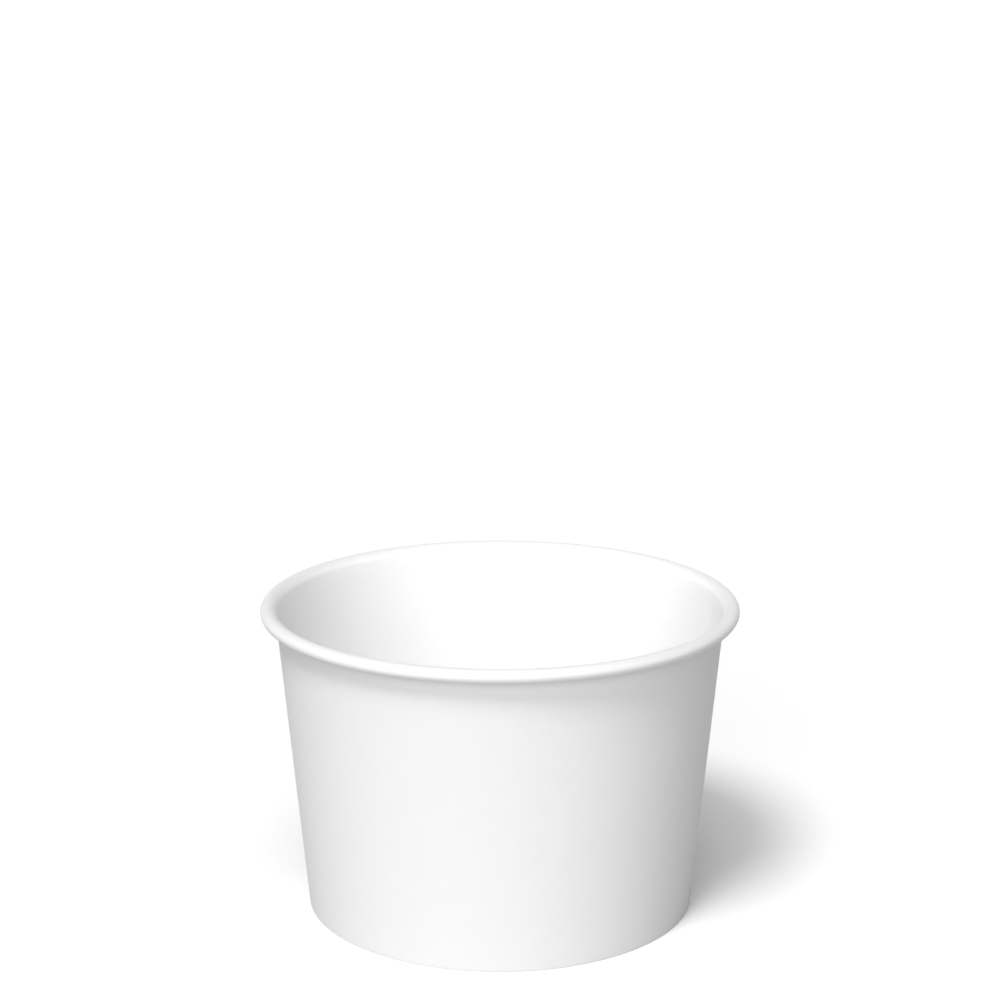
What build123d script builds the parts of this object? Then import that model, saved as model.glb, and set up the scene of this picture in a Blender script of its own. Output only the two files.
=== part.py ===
from build123d import *
import os
from math import asin, atan2, cos, degrees, hypot, radians, sin, sqrt, tan

# A round paper food container: one wrapped blank of coated board makes the tapered sidewall, with a rolled rim
# above and a folded hem below, and a second blank makes the raised bottom, sealed between the wall and the hem.
# Millimetres, +Z up, origin at the middle of the foot ring on the surface that the container stands on.

# Overall sizes
RIM_DIAMETER = 115.0       # across the outside of the rolled rim
HEIGHT = 75.4              # from the foot ring to the top of the rim
FOOT_DIAMETER = 93.9       # outside of the wall where it meets the foot plane

# Boards
WALL_BOARD = 0.45          # thickness of the sidewall blank
BOTTOM_BOARD = 0.38        # thickness of the bottom blank
SEAL_FILM = 0.02           # melted coating left between the skirt and the boards beside it

# Rolled rim
ROLL_WIDTH = 4.0           # from the inner face of the wall to the outside of the roll
ROLL_HEIGHT = 3.33         # from the underside of the roll to its top
TUCK_SHARE = 0.79          # inside radius of the tucked edge's turn, as a share of the most that fits
TUCK_TURN = 125.0          # degrees that the tucked edge turns on from the underside of the roll

# Foot
FOLD_RADIUS = 0.05         # inside radius of the two creases at the foot ring
HEM_HEIGHT = 6.0           # from the foot plane to the free edge of the hem
HEM_GAP = 0.3              # from the free edge of the hem to the start of the bottom's bend
SKIRT_GAP = 0.3            # from the free edge of the skirt to the inside of the foot fold
BOTTOM_BEND = 0.6          # inside radius of the bend between the bottom and its skirt

# Side seam
LAP_WIDTH = 8.0            # how far the two ends of the blank overlap, measured at the foot
LAP_FADE = 7.0             # over what width the outer end settles back to the cone, measured at the foot
LAP_PRESS_SHARE = 0.8      # height of the pressed lap as a share of the board
LAP_ANGLE = 1.5            # direction of the outer end's cut edge, in degrees from +X towards +Y

# Taper: the outer face of the wall leaves the foot and runs tangent into the first turn of the roll
foot_radius = FOOT_DIAMETER / 2
roll_radius = ROLL_HEIGHT / 2
roll_underside = HEIGHT - ROLL_HEIGHT
lead_in_radius = ROLL_WIDTH - roll_radius
lead_in_inside = lead_in_radius - WALL_BOARD
lead_in_out = RIM_DIAMETER / 2 - roll_radius - foot_radius
lead_in_up = HEIGHT - lead_in_radius
lead_in_reach = hypot(lead_in_out, lead_in_up)
taper = atan2(lead_in_out, lead_in_up) - asin(lead_in_inside / lead_in_reach)
wall_slant = sqrt(lead_in_reach ** 2 - lead_in_inside ** 2)
wall_across = WALL_BOARD / cos(taper)

# The two kinds of corner that the boards turn: out to the leaning wall, and back from it
open_turn = 90 - degrees(taper)
closed_turn = 90 + degrees(taper)

# Levels and widths that follow
hem_room = BOTTOM_BOARD + 2 * SEAL_FILM
fold_across = (2 * WALL_BOARD + hem_room) / cos(taper)
fold_corner = WALL_BOARD + FOLD_RADIUS
bottom_top = HEM_HEIGHT + HEM_GAP + BOTTOM_BEND + BOTTOM_BOARD
skirt_end = fold_corner + SKIRT_GAP
lap_step = LAP_PRESS_SHARE * WALL_BOARD
lap_end_angle = LAP_ANGLE + degrees(LAP_WIDTH / foot_radius)
fade_end_angle = lap_end_angle + degrees(LAP_FADE / foot_radius)


def outer_radius(height):
    """Radius of the wall's outer face at a height."""
    return foot_radius + height * tan(taper)


def inner_radius(height):
    """Radius of the wall's inner face at a height."""
    return outer_radius(height) - wall_across


def corner_trim(radius, turn):
    """How much of a straight run a bend of this radius takes from the sharp corner."""
    return radius * tan(radians(turn) / 2)


def pointing(angle):
    """Unit vector at an angle in degrees, in the plane of a section."""
    return Vector(cos(radians(angle)), sin(radians(angle)))


def board_section(start, heading, thickness, steps):
    """Section of a board in radius and height: its right-hand face starts at a point with a heading in degrees.

    Each step is a straight run, a turn in degrees, positive to the left, and the turn's inside radius.
    """
    right = []
    left = []
    point = Vector(*start)
    first_edge = Line(point + pointing(heading + 90) * thickness, point)
    for run, turn, inside in steps:
        side = pointing(heading + 90)
        if run:
            end = point + pointing(heading) * run
            right.append(Line(point, end))
            left.append(Line(point + side * thickness, end + side * thickness))
            point = end
        if turn:
            outside = inside + thickness
            to_left = turn > 0
            right_radius = outside if to_left else inside
            left_radius = inside if to_left else outside
            centre = point + side * (right_radius if to_left else -right_radius)
            from_centre = -90 if to_left else 90
            right.append(CenterArc(centre, right_radius, heading + from_centre, turn))
            left.append(CenterArc(centre, left_radius, heading + from_centre, turn))
            heading += turn
            point = centre + pointing(heading + from_centre) * right_radius
    last_edge = Line(point, point + pointing(heading + 90) * thickness)
    return Plane.XZ * make_face(Wire(right + [last_edge] + left + [first_edge]))


def wall_section():
    """Section of the sidewall blank: down the hem, round the foot, up the wall and round the rolled rim."""
    hem_trim = corner_trim(fold_corner, closed_turn)
    wall_trim = corner_trim(fold_corner, open_turn)
    hem_edge = (foot_radius - fold_across + HEM_HEIGHT * tan(taper), HEM_HEIGHT)
    tuck_room = min(roll_radius, lead_in_inside - lap_step) - WALL_BOARD
    return board_section(hem_edge, -closed_turn, WALL_BOARD, [
        (HEM_HEIGHT / cos(taper) - hem_trim, closed_turn, FOLD_RADIUS),
        (fold_across - hem_trim - wall_trim, open_turn, FOLD_RADIUS),
        (wall_slant - wall_trim, -open_turn, lead_in_inside),
        (0, -180, roll_radius - WALL_BOARD),
        (0, -TUCK_TURN, TUCK_SHARE * tuck_room),
    ])


def lap_outline(radius, height, step_angle):
    """One face of the lapped wall at a height: it steps out at an angle, runs to the lap's end and fades back."""
    def at(distance, angle):
        return pointing(angle) * distance + Vector(0, 0, height)

    axis_point = Vector(0, 0, height)
    raised = radius + lap_step
    edges = [CenterArc(axis_point, radius, fade_end_angle, 360 + step_angle - fade_end_angle)]
    edges.append(Line(at(radius, step_angle), at(raised, step_angle)))
    if step_angle < lap_end_angle:
        edges.append(CenterArc(axis_point, raised, step_angle, lap_end_angle - step_angle))
    back = pointing(fade_end_angle - 90)
    edges.append(TangentArc(at(radius, fade_end_angle), at(raised, lap_end_angle), tangent=back))
    return make_face(Wire(edges))


def lapped_wall(low, high):
    """The straight stretch of the wall between two heights, with the two ends of the blank lapped."""
    outside = loft([lap_outline(outer_radius(z), z, LAP_ANGLE) for z in (low, high)], ruled=True)
    inside = loft([lap_outline(inner_radius(z), z, lap_end_angle) for z in (low, high)], ruled=True)
    return outside - inside


def plain_wall_band(low, high):
    """A ring round the wall between two heights, from the middle of the skirt's room to beyond the lap."""
    inner_corners = [(inner_radius(z) - hem_room / 2, z) for z in (low, high)]
    outer_corners = [(outer_radius(z) + WALL_BOARD, z) for z in (high, low)]
    return revolve(Plane.XZ * make_face(Polyline(*inner_corners, *outer_corners, close=True)), Axis.Z)


def sidewall():
    """The wrapped blank: a full turn of its section, with the lapped seam in its straight stretch."""
    low = fold_corner
    high = roll_underside
    turned = revolve(wall_section(), Axis.Z)
    return turned - plain_wall_band(low, high) + lapped_wall(low, high)


def bottom_disc():
    """The bottom blank: a flat disc with its edge turned down as a skirt along the inside of the wall."""
    film_across = SEAL_FILM / cos(taper)
    bend_trim = corner_trim(BOTTOM_BEND + BOTTOM_BOARD, closed_turn)
    skirt_edge = (inner_radius(skirt_end) - film_across, skirt_end)
    skirt_slant = (bottom_top - skirt_end) / cos(taper)
    section = board_section(skirt_edge, open_turn, BOTTOM_BOARD, [
        (skirt_slant - bend_trim, closed_turn, BOTTOM_BEND),
        (inner_radius(bottom_top) - film_across - bend_trim, 0, 0),
    ])
    return revolve(section, Axis.Z)


os.makedirs("parts", exist_ok=True)
export_step(sidewall(), "parts/sidewall.step")
export_step(bottom_disc(), "parts/bottom_disc.step")
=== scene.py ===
from math import asin, atan2, cos, degrees, hypot, radians, sin, sqrt, tan

import bmesh
import bpy
import numpy as np
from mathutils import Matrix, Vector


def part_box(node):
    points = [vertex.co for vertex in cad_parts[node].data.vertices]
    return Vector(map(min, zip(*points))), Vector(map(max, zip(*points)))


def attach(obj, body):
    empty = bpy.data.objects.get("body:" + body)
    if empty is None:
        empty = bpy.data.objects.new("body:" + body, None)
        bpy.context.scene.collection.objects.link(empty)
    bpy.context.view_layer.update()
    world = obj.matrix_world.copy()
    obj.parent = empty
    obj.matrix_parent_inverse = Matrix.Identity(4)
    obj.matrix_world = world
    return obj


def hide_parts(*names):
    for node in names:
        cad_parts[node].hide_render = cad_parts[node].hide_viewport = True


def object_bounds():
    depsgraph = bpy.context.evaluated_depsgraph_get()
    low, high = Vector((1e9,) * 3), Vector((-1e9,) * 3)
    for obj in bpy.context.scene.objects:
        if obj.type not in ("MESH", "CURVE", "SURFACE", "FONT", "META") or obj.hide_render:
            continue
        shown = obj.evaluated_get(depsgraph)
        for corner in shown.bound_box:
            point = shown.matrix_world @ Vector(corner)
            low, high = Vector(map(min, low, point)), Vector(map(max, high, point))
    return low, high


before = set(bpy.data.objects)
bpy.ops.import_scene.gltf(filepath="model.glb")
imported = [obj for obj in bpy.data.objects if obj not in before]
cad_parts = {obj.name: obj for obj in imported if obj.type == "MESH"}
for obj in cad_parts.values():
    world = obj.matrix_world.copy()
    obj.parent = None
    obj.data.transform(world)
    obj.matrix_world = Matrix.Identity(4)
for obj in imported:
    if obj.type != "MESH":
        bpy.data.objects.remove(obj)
cad_low, cad_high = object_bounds()

# A round paper food container: a wrapped sidewall with a lapped seam, a rolled rim and a folded foot, and a
# bottom sealed into the foot. Metres, +Z up, origin at the middle of the foot ring, -Y towards the viewer.

# Sizes that the frame gives, in metres
RIM_RADIUS = (cad_high.x - cad_low.x) / 2
HEIGHT = cad_high.z
SKIRT_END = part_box("bottom_disc")[0].z
BOTTOM_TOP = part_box("bottom_disc")[1].z

# Boards, folds and roll, as in the solids, in metres and degrees
FOOT_RADIUS = 0.04695
WALL_BOARD = 0.00045
BOTTOM_BOARD = 0.00038
SEAL_FILM = 0.00002
ROLL_WIDTH = 0.00400
ROLL_HEIGHT = 0.00333
TUCK_INSIDE = 0.00085
TUCK_TURN = 125.0
FOLD_INSIDE = 0.00005
HEM_HEIGHT = 0.00600
BOTTOM_BEND = 0.00060

# How far the two foot creases are pressed from a plain bend towards a sharp corner
FOLD_SQUARE_SHARE = 0.75

# Side seam: directions in degrees from +X towards +Y, and widths in metres, measured at the foot
LAP_START = 1.5
LAP_WIDTH = 0.00800
LAP_FADE = 0.00700
LAP_END = LAP_START + degrees(LAP_WIDTH / FOOT_RADIUS)
FADE_END = LAP_END + degrees(LAP_FADE / FOOT_RADIUS)
UNDER_START = 360 + LAP_START
UNDER_END = 360 + LAP_END

# How far the pressed seam stands out, in boards, and the inner end's share of its thickness
LAP_PRESS_WALL = 0.8
LAP_PRESS_ROLL = 0.1
LAP_PRESS_HEM = 0.4
INNER_SHARE_WALL = 0.5
INNER_SHARE_ROLL = 0.2

# Glue between the two ends, in metres, and over how many degrees the inner end thins before it goes under
LAP_GLUE = 0.000005
THINNING = 2.0

# Knurl that presses the hem against the skirt: its depth in metres, and the share of that in each column
# of a groove
KNURL_DEPTH = 0.00010
KNURL_PROFILE = (0.0, 0.5, 1.0, 0.5)

# Mesh fineness round the axis: columns in each stretch of the seam, round the rest and round the bottom
SEAM_COLUMNS = 14
PLAIN_COLUMNS = 456
DISC_COLUMNS = 240

# Mesh fineness along the boards: pieces in each run and each bend
HEM_PIECES = 8
CREASE_PIECES = 8
FOOT_PIECES = 1
WALL_PIECES = 16
LEAD_IN_PIECES = 10
ROLL_PIECES = 20
TUCK_PIECES = 10
SKIRT_PIECES = 4
BEND_PIECES = 8
DISC_PIECES = 24

# Vertices nearer than the first are joined and faces thinner than the second are dropped, in metres
WELD_REACH = 1e-7
SLIVER_REACH = 1e-8

# Edges that turn by more degrees than this are shaded sharp
SHARP_ANGLE = 40.0

# The cone's taper, from the tangent that the wall makes with the first turn of the roll
ROLL_RADIUS = ROLL_HEIGHT / 2
LEAD_IN_RADIUS = ROLL_WIDTH - ROLL_RADIUS
LEAD_IN_INSIDE = LEAD_IN_RADIUS - WALL_BOARD
LEAD_IN_OUT = RIM_RADIUS - ROLL_RADIUS - FOOT_RADIUS
LEAD_IN_UP = HEIGHT - LEAD_IN_RADIUS
LEAD_IN_REACH = hypot(LEAD_IN_OUT, LEAD_IN_UP)
TAPER = atan2(LEAD_IN_OUT, LEAD_IN_UP) - asin(LEAD_IN_INSIDE / LEAD_IN_REACH)
WALL_SLANT = sqrt(LEAD_IN_REACH ** 2 - LEAD_IN_INSIDE ** 2)

# The two kinds of corner that the boards turn, in degrees, and the width of the foot fold
OPEN_TURN = 90 - degrees(TAPER)
CLOSED_TURN = 90 + degrees(TAPER)
FOLD_CORNER = WALL_BOARD + FOLD_INSIDE
FOLD_ACROSS = (2 * WALL_BOARD + BOTTOM_BOARD + 2 * SEAL_FILM) / cos(TAPER)

# Board surface: the noise value that fibres lie along, how narrow they are, the fibres' share of the height
# and the clouds' share of the tone
FIBRE_SCALES = ("Cloud Scale", "Fibre Scale", "Grain Scale")
FIBRE_MIDDLE = 0.5
FIBRE_NARROWNESS = 6.0
FIBRE_SHARE = 0.35
CLOUD_SHARE = 0.6

# Range of that tone and height over which a finish goes from its shade to its light and from smooth to rough
SURFACE_LOW = 0.30
SURFACE_HIGH = 0.70

# How strongly the board mirrors at its surface, where 0.5 is plain varnish
SHEEN_LEVEL = 0.2

# Painted shade on the top of the roll: the film's colour there, as a share of its colour elsewhere
ROLL_TOP_PAINTED_SHADE = 0.80

# Camera fitted to the outline in the photograph, in metres, degrees and millimetres of lens
CAMERA_BACK = 0.5552
CAMERA_UP = 0.2342
CAMERA_PITCH = 13.595
CAMERA_LENS = 86.28
SENSOR_WIDTH = 36.0

# Light: a soft key from the front left, a wide low fill from the front, a wide high light that leans to the
# front, and an even sky. Azimuths are in degrees from the front towards the left.
KEY_AZIMUTH = 27.0
KEY_ELEVATION = 57.0
KEY_SOFTNESS = 18.0
KEY_STRENGTH = 1.66
FILL_AZIMUTH = 8.0
FILL_ELEVATION = 12.0
FILL_SOFTNESS = 60.0
FILL_STRENGTH = 1.98
TOP_AZIMUTH = 0.0
TOP_ELEVATION = 76.0
TOP_SOFTNESS = 40.0
TOP_STRENGTH = 0.75
SKY_STRENGTH = 0.215

# Floor: its size and drop in metres, the white that it shows, and how much light it throws back
FLOOR_SIZE = 40.0
FLOOR_DROP = 0.00003
FLOOR_WHITE = 1.0
FLOOR_BOUNCE = 0.33


def pointing(angle):
    """Unit vector of radius and height at an angle in degrees."""
    return np.array((cos(radians(angle)), sin(radians(angle))))


def corner_trim(radius, turn):
    """How much of a straight run a bend of this radius takes from the sharp corner."""
    return radius * tan(radians(turn) / 2)


def smooth_step(values, start, end):
    """0 before start, 1 after end, and a smooth rise between."""
    share = np.clip((values - start) / (end - start), 0, 1)
    return share * share * (3 - 2 * share)


def grey(level):
    """A plain grey colour, where 1 is white."""
    return (level, level, level, 1)


def put(name, data):
    """Puts a mesh, a lamp or a camera into the scene."""
    item = bpy.data.objects.new(name, data)
    bpy.context.scene.collection.objects.link(item)
    return item


def board_path(start, heading, thickness, steps):
    """Points along a board's right-hand face in radius and height, and unit normals towards its other face.

    Each step is a straight run, its pieces, a turn in degrees, positive to the left, the turn's inside radius
    and its pieces.
    """
    points = [np.array(start)]
    normals = [pointing(heading + 90)]
    for run, run_pieces, turn, inside, turn_pieces in steps:
        side = pointing(heading + 90)
        origin = points[-1]
        for share in np.linspace(0, 1, run_pieces + 1)[1:]:
            points.append(origin + pointing(heading) * run * share)
            normals.append(side)
        radius = inside + thickness if turn > 0 else -inside
        centre = points[-1] + side * radius
        for share in np.linspace(0, 1, turn_pieces + 1)[1:]:
            normals.append(pointing(heading + 90 + turn * share))
            points.append(centre - normals[-1] * radius)
        heading += turn
    return np.array(points), np.array(normals)


def sidewall_path():
    """The blank's outer face: down the hem, round the foot fold, up the wall and round the rolled rim."""
    hem_trim = corner_trim(FOLD_CORNER, CLOSED_TURN)
    wall_trim = corner_trim(FOLD_CORNER, OPEN_TURN)
    hem_edge = (FOOT_RADIUS - FOLD_ACROSS + HEM_HEIGHT * tan(TAPER), HEM_HEIGHT)
    return board_path(hem_edge, -CLOSED_TURN, WALL_BOARD, [
        (HEM_HEIGHT / cos(TAPER) - hem_trim, HEM_PIECES, CLOSED_TURN, FOLD_INSIDE, CREASE_PIECES),
        (FOLD_ACROSS - hem_trim - wall_trim, FOOT_PIECES, OPEN_TURN, FOLD_INSIDE, CREASE_PIECES),
        (WALL_SLANT - wall_trim, WALL_PIECES, -OPEN_TURN, LEAD_IN_INSIDE, LEAD_IN_PIECES),
        (0, 0, -180, ROLL_RADIUS - WALL_BOARD, ROLL_PIECES),
        (0, 0, -TUCK_TURN, TUCK_INSIDE, TUCK_PIECES),
    ])


def bottom_path():
    """The bottom's outer face: up the skirt, round the bend and over the disc to its middle."""
    film_across = (WALL_BOARD + SEAL_FILM) / cos(TAPER)
    bend_trim = corner_trim(BOTTOM_BEND + BOTTOM_BOARD, CLOSED_TURN)
    skirt_edge = (FOOT_RADIUS + SKIRT_END * tan(TAPER) - film_across, SKIRT_END)
    skirt_slant = (BOTTOM_TOP - SKIRT_END) / cos(TAPER)
    disc_radius = FOOT_RADIUS + BOTTOM_TOP * tan(TAPER) - film_across
    return board_path(skirt_edge, OPEN_TURN, BOTTOM_BOARD, [
        (skirt_slant - bend_trim, SKIRT_PIECES, CLOSED_TURN, BOTTOM_BEND, BEND_PIECES),
        (disc_radius - bend_trim, DISC_PIECES, 0, 0, 0),
    ])


def wind(face, angles):
    """Vertices of a face that each column gives in radius and height, wound round the axis."""
    turn = np.radians(angles)[:, None]
    radius, height = face[..., 0], face[..., 1]
    return np.stack((radius * np.cos(turn), radius * np.sin(turn), height), axis=-1).reshape(-1, 3)


def grid_faces(first, columns, rows, flip):
    """Quads between neighbouring columns and rows of vertices numbered from a first one."""
    column, row = np.meshgrid(np.arange(columns - 1), np.arange(rows - 1), indexing="ij")
    corner = first + column * rows + row
    quads = np.stack((corner, corner + rows, corner + rows + 1, corner + 1), axis=-1).reshape(-1, 4)
    return quads[:, ::-1] if flip else quads


def rim_faces(outer, inner):
    """Quads that close the edge between two matching lines of vertex numbers."""
    return np.stack((outer[:-1], outer[1:], inner[1:], inner[:-1]), axis=-1)


def weld(mesh):
    """Joins vertices that meet, drops faces of no area, and turns every face outwards."""
    joined = bmesh.new()
    joined.from_mesh(mesh)
    bmesh.ops.remove_doubles(joined, verts=joined.verts, dist=WELD_REACH)
    bmesh.ops.dissolve_degenerate(joined, edges=joined.edges, dist=SLIVER_REACH)
    bmesh.ops.recalc_face_normals(joined, faces=joined.faces)
    joined.to_mesh(mesh)
    joined.free()


def board_mesh(name, path, angles, thickness, outer_shift, inner_shift, cut_edges):
    """A board wound round the axis: the path's face, the face behind it and the cut edges between them.

    They take the board's first, second and third material. The shifts move the two faces outwards, in each
    column and row. The cut edges are named low and high along the path, and first and last round the axis.
    """
    points, normals = path
    columns, rows = len(angles), len(points)
    outer_face = points - normals * outer_shift[..., None]
    inner_face = points + normals * (thickness - inner_shift)[..., None]
    vertices = np.concatenate((wind(outer_face, angles), wind(inner_face, angles)))

    across = columns * rows
    number = np.arange(across).reshape(columns, rows)
    lines = {"low": number[:, 0], "high": number[:, -1], "first": number[0], "last": number[-1]}
    parts = (
        grid_faces(0, columns, rows, False),
        grid_faces(across, columns, rows, True),
        np.concatenate([rim_faces(lines[side], lines[side] + across) for side in cut_edges]),
    )
    material_index = np.repeat(np.arange(len(parts), dtype=np.int32), [len(quads) for quads in parts])

    mesh = bpy.data.meshes.new(name)
    mesh.from_pydata(vertices.tolist(), [], np.concatenate(parts).tolist())
    mesh.polygons.foreach_set("material_index", material_index)
    weld(mesh)
    mesh.shade_smooth()
    mesh.set_sharp_from_angle(angle=radians(SHARP_ANGLE))
    return put(name, mesh)


def dress(board, node, materials):
    """Gives a board its materials and its place in the frame, and hides the solid that it stands for."""
    for material in materials:
        board.data.materials.append(material)
    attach(board, "root")
    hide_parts(node)
    return board


def seam_columns():
    """Directions of the blank's columns: along the lap, back to the cone, round it and on under the lap."""
    return np.concatenate((
        np.linspace(LAP_START, LAP_END, SEAM_COLUMNS),
        np.linspace(LAP_END, FADE_END, SEAM_COLUMNS)[1:],
        np.linspace(FADE_END, UNDER_START, PLAIN_COLUMNS)[1:],
        np.linspace(UNDER_START, UNDER_END, SEAM_COLUMNS)[1:],
    ))


def square_foot(normals, on_hem, in_fold):
    """How far each row stands out where the two foot creases are pressed squarer than plain bends."""
    wall_normal = pointing(180 - degrees(TAPER))
    leg_normals = np.where(on_hem[:, None], normals[0], wall_normal)
    nearest = np.maximum((normals * leg_normals).sum(axis=1), normals[:, 1])
    square = np.zeros(len(normals))
    square[in_fold] = FOLD_SQUARE_SHARE * FOLD_CORNER * (1 / nearest[in_fold] - 1)
    return square


def make_sidewall(materials):
    """The wrapped blank: its outer end laps over its inner end and settles back to the cone."""
    path = sidewall_path()
    points, normals = path
    radius, height = points[:, 0], points[:, 1]
    on_hem = radius < FOOT_RADIUS - FOLD_ACROSS / 2 + height * tan(TAPER)
    in_fold = height < FOLD_CORNER
    in_roll = height > HEIGHT - ROLL_HEIGHT
    press = np.select([in_fold, on_hem, in_roll], [0, LAP_PRESS_HEM, LAP_PRESS_ROLL], LAP_PRESS_WALL)
    inner_share = np.where(in_roll, INNER_SHARE_ROLL, INNER_SHARE_WALL)

    angles = seam_columns()
    lapped = 1 - smooth_step(angles, LAP_END, FADE_END)[:, None]
    under = smooth_step(angles, UNDER_START - THINNING, UNDER_START)[:, None]
    inner_layer = (1 + press) * inner_share * WALL_BOARD
    outer_shift = lapped * press * WALL_BOARD + under * (inner_layer - WALL_BOARD)
    inner_shift = lapped * (inner_layer + LAP_GLUE)

    knurled = on_hem & (height > 2 * FOLD_CORNER) & (height < HEM_HEIGHT - FOLD_CORNER)
    groove = np.resize(KNURL_PROFILE, len(angles))[:, None] * knurled
    square = square_foot(normals, on_hem, in_fold)
    outer_shift = outer_shift + (1 - under) * square - groove * KNURL_DEPTH
    cut_edges = ("low", "high", "first", "last")
    board = board_mesh("sidewall_board", path, angles, WALL_BOARD, outer_shift, inner_shift, cut_edges)
    return dress(board, "sidewall", materials)


def make_bottom(materials):
    """The bottom blank: a disc with its edge turned down as the sealed skirt."""
    path = bottom_path()
    angles = np.linspace(0, 360, DISC_COLUMNS + 1)
    flat = np.zeros((len(angles), len(path[0])))
    board = board_mesh("bottom_board", path, angles, BOTTOM_BOARD, flat, flat, ("low",))
    return dress(board, "bottom_disc", materials)


def link(tree, source, output, target, socket):
    """Links a node's output to another node's input, by name or number."""
    tree.links.new(source.outputs[output], target.inputs[socket])


def fibre_group():
    """Board surface: slow clouds in the sheet, matted fibres and fine grain, as a tone and a height."""
    group = bpy.data.node_groups.new("board_fibres", "ShaderNodeTree")
    for name in FIBRE_SCALES:
        group.interface.new_socket(name=name, in_out="INPUT", socket_type="NodeSocketFloat")
    for name in ("Tone", "Height"):
        group.interface.new_socket(name=name, in_out="OUTPUT", socket_type="NodeSocketFloat")
    nodes = group.nodes
    given = nodes.new("NodeGroupInput")
    result = nodes.new("NodeGroupOutput")
    place = nodes.new("ShaderNodeTexCoord")

    def noise(scale, detail, roughness, distortion):
        texture = nodes.new("ShaderNodeTexNoise")
        texture.inputs["Detail"].default_value = detail
        texture.inputs["Roughness"].default_value = roughness
        texture.inputs["Distortion"].default_value = distortion
        link(group, place, "Object", texture, "Vector")
        link(group, given, scale, texture, "Scale")
        return texture.outputs["Fac"]

    def combine(operation, *inputs):
        node = nodes.new("ShaderNodeMath")
        node.operation = operation
        for socket, source in zip(node.inputs, inputs):
            if isinstance(source, float):
                socket.default_value = source
            else:
                group.links.new(source, socket)
        return node.outputs[0]

    def blend(first, second, first_share):
        first_part = combine("MULTIPLY", first, first_share)
        second_part = combine("MULTIPLY", second, 1 - first_share)
        return combine("ADD", first_part, second_part)

    clouds = noise("Cloud Scale", detail=3.0, roughness=0.55, distortion=0.0)
    strands = noise("Fibre Scale", detail=2.0, roughness=0.5, distortion=2.2)
    grain = noise("Grain Scale", detail=4.0, roughness=0.65, distortion=0.0)
    away = combine("ABSOLUTE", combine("SUBTRACT", strands, FIBRE_MIDDLE))
    ridges = combine("SUBTRACT", 1.0, combine("MULTIPLY", away, FIBRE_NARROWNESS))
    fibres = combine("MAXIMUM", ridges, 0.0)
    matted = blend(fibres, grain, FIBRE_SHARE)
    tone = blend(clouds, matted, CLOUD_SHARE)
    group.links.new(tone, result.inputs["Tone"])
    group.links.new(matted, result.inputs["Height"])
    return group


def paint_shade_on_roll_top(tree, colour):
    """Paints shade onto the top of the roll: lowers a colour smoothly from the roll's middle to its top."""
    place = tree.nodes.new("ShaderNodeTexCoord")
    axes = tree.nodes.new("ShaderNodeSeparateXYZ")
    link(tree, place, "Object", axes, "Vector")
    roll_shade_mask = tree.nodes.new("ShaderNodeMapRange")
    roll_shade_mask.interpolation_type = "SMOOTHSTEP"
    roll_shade_mask.inputs["From Min"].default_value = HEIGHT - ROLL_RADIUS
    roll_shade_mask.inputs["From Max"].default_value = HEIGHT
    link(tree, axes, "Z", roll_shade_mask, "Value")
    rolled = tree.nodes.new("ShaderNodeMix")
    rolled.data_type = "RGBA"
    rolled.blend_type = "MULTIPLY"
    # The sockets for colours and for plain values share their names, so they are taken by number
    factor, base, tone = rolled.inputs[0], rolled.inputs[6], rolled.inputs[7]
    tone.default_value = grey(ROLL_TOP_PAINTED_SHADE)
    tree.links.new(roll_shade_mask.outputs["Result"], factor)
    tree.links.new(colour, base)
    return rolled.outputs[2]


def board_material(name, fibres, light, shade, rough, scales, bump, painted_roll_shade=False):
    """A finish of the board: fibre tone between a shade and a light, and roughness and a fine bump.

    Rough is a range of roughness, scales are those of the clouds, the fibres and the grain, and bump is a
    strength and a depth in metres.
    """
    material = bpy.data.materials.new(name)
    material.use_nodes = True
    tree = material.node_tree
    surface = tree.nodes["Principled BSDF"]
    surface.inputs["Specular IOR Level"].default_value = SHEEN_LEVEL
    sheet = tree.nodes.new("ShaderNodeGroup")
    sheet.node_tree = fibres
    for socket, scale in zip(FIBRE_SCALES, scales):
        sheet.inputs[socket].default_value = scale

    ramp = tree.nodes.new("ShaderNodeValToRGB")
    low, high = ramp.color_ramp.elements
    low.position = SURFACE_LOW
    low.color = (*shade, 1)
    high.position = SURFACE_HIGH
    high.color = (*light, 1)
    link(tree, sheet, "Tone", ramp, "Fac")
    colour = ramp.outputs["Color"]
    # Painted shade: the top of the roll is made darker than the rest of the film
    if painted_roll_shade:
        colour = paint_shade_on_roll_top(tree, colour)
    tree.links.new(colour, surface.inputs["Base Color"])

    gloss = tree.nodes.new("ShaderNodeMapRange")
    gloss.inputs["From Min"].default_value = SURFACE_LOW
    gloss.inputs["From Max"].default_value = SURFACE_HIGH
    gloss.inputs["To Min"].default_value = rough[0]
    gloss.inputs["To Max"].default_value = rough[1]
    link(tree, sheet, "Height", gloss, "Value")
    link(tree, gloss, "Result", surface, "Roughness")

    relief = tree.nodes.new("ShaderNodeBump")
    relief.inputs["Strength"].default_value = bump[0]
    relief.inputs["Distance"].default_value = bump[1]
    link(tree, sheet, "Height", relief, "Height")
    link(tree, relief, "Normal", surface, "Normal")
    return material


def shown_ray(tree):
    """1 on rays that show the background, also mirrored or through glass, and 0 on rays that carry light."""
    ray = tree.nodes.new("ShaderNodeLightPath")
    shown = ray.outputs["Is Camera Ray"]
    for name in ("Is Glossy Ray", "Is Transmission Ray"):
        either = tree.nodes.new("ShaderNodeMath")
        either.operation = "MAXIMUM"
        tree.links.new(shown, either.inputs[0])
        tree.links.new(ray.outputs[name], either.inputs[1])
        shown = either.outputs[0]
    return shown


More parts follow.
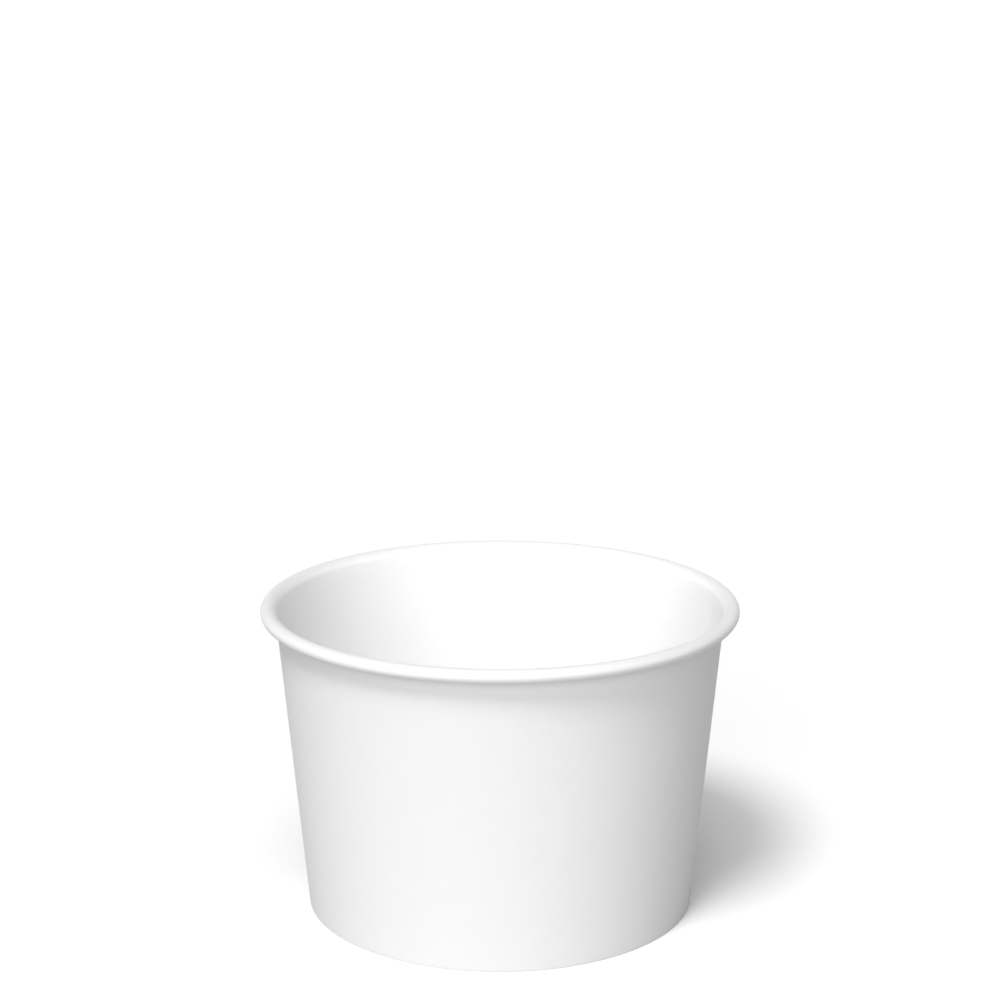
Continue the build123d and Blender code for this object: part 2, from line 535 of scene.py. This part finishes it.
def light_or_show(tree, lighting, showing, output):
    """Gives rays that carry light one shader, and rays that show the background another."""
    mix = tree.nodes.new("ShaderNodeMixShader")
    tree.links.new(shown_ray(tree), mix.inputs[0])
    # The two shader sockets share their name, so they are taken by number
    tree.links.new(lighting.outputs[0], mix.inputs[1])
    tree.links.new(showing.outputs[0], mix.inputs[2])
    link(tree, mix, "Shader", output, "Surface")


def make_floor():
    """A plain white floor that keeps the shadow; it throws back less light than it shows the camera."""
    mesh = bpy.data.meshes.new("floor")
    half = FLOOR_SIZE / 2
    corners = [(-half, -half), (half, -half), (half, half), (-half, half)]
    mesh.from_pydata([(x, y, -FLOOR_DROP) for x, y in corners], [], [(0, 1, 2, 3)])
    floor = put("floor", mesh)

    material = bpy.data.materials.new("floor_white")
    material.use_nodes = True
    tree = material.node_tree
    tree.nodes.remove(tree.nodes["Principled BSDF"])
    seen = tree.nodes.new("ShaderNodeBsdfDiffuse")
    seen.inputs["Color"].default_value = grey(FLOOR_WHITE)
    bounce = tree.nodes.new("ShaderNodeBsdfDiffuse")
    bounce.inputs["Color"].default_value = grey(FLOOR_BOUNCE)
    light_or_show(tree, bounce, seen, tree.nodes["Material Output"])
    mesh.materials.append(material)


def make_light():
    """The key, the fill, the top light and the sky, which shows plain white behind the floor's far edge."""
    for name, azimuth, elevation, softness, strength in (
        ("key", KEY_AZIMUTH, KEY_ELEVATION, KEY_SOFTNESS, KEY_STRENGTH),
        ("fill", FILL_AZIMUTH, FILL_ELEVATION, FILL_SOFTNESS, FILL_STRENGTH),
        ("top", TOP_AZIMUTH, TOP_ELEVATION, TOP_SOFTNESS, TOP_STRENGTH),
    ):
        lamp = bpy.data.lights.new(name, "SUN")
        lamp.energy = strength
        lamp.angle = radians(softness)
        holder = put(name, lamp)
        holder.rotation_euler = (radians(90 - elevation), 0, radians(-azimuth))

    world = bpy.data.worlds.new("sky")
    bpy.context.scene.world = world
    world.use_nodes = True
    tree = world.node_tree
    sky = tree.nodes["Background"]
    sky.inputs["Color"].default_value = grey(1)
    sky.inputs["Strength"].default_value = SKY_STRENGTH
    backdrop = tree.nodes.new("ShaderNodeBackground")
    backdrop.inputs["Color"].default_value = grey(1)
    light_or_show(tree, sky, backdrop, tree.nodes["World Output"])


def make_camera():
    """The photograph's view: level with the horizon, in front of the container and above it."""
    lens = bpy.data.cameras.new("camera")
    lens.lens = CAMERA_LENS
    lens.sensor_width = SENSOR_WIDTH
    camera = put("camera", lens)
    camera.location = (0, -CAMERA_BACK, CAMERA_UP)
    camera.rotation_euler = (radians(90 - CAMERA_PITCH), 0, 0)
    bpy.context.scene.camera = camera


fibres = fibre_group()
outside = board_material(
    "board_outside", fibres, light=(0.935, 0.935, 0.935), shade=(0.92, 0.92, 0.92),
    rough=(0.50, 0.62), scales=(260, 700, 2600), bump=(0.10, 0.00004),
)
# The film inside carries painted shade on the top of the roll
inside = board_material(
    "film_inside", fibres, light=(0.94, 0.94, 0.94), shade=(0.925, 0.925, 0.925),
    rough=(0.38, 0.48), scales=(260, 700, 1800), bump=(0.06, 0.00004), painted_roll_shade=True,
)
edge = board_material(
    "cut_edge", fibres, light=(0.86, 0.85, 0.83), shade=(0.74, 0.72, 0.69),
    rough=(0.80, 0.92), scales=(900, 2400, 6000), bump=(0.30, 0.00005),
)
make_sidewall((outside, inside, edge))
make_bottom((inside, outside, edge))
make_floor()
make_light()
make_camera()
bpy.context.scene.view_settings.view_transform = "Standard"
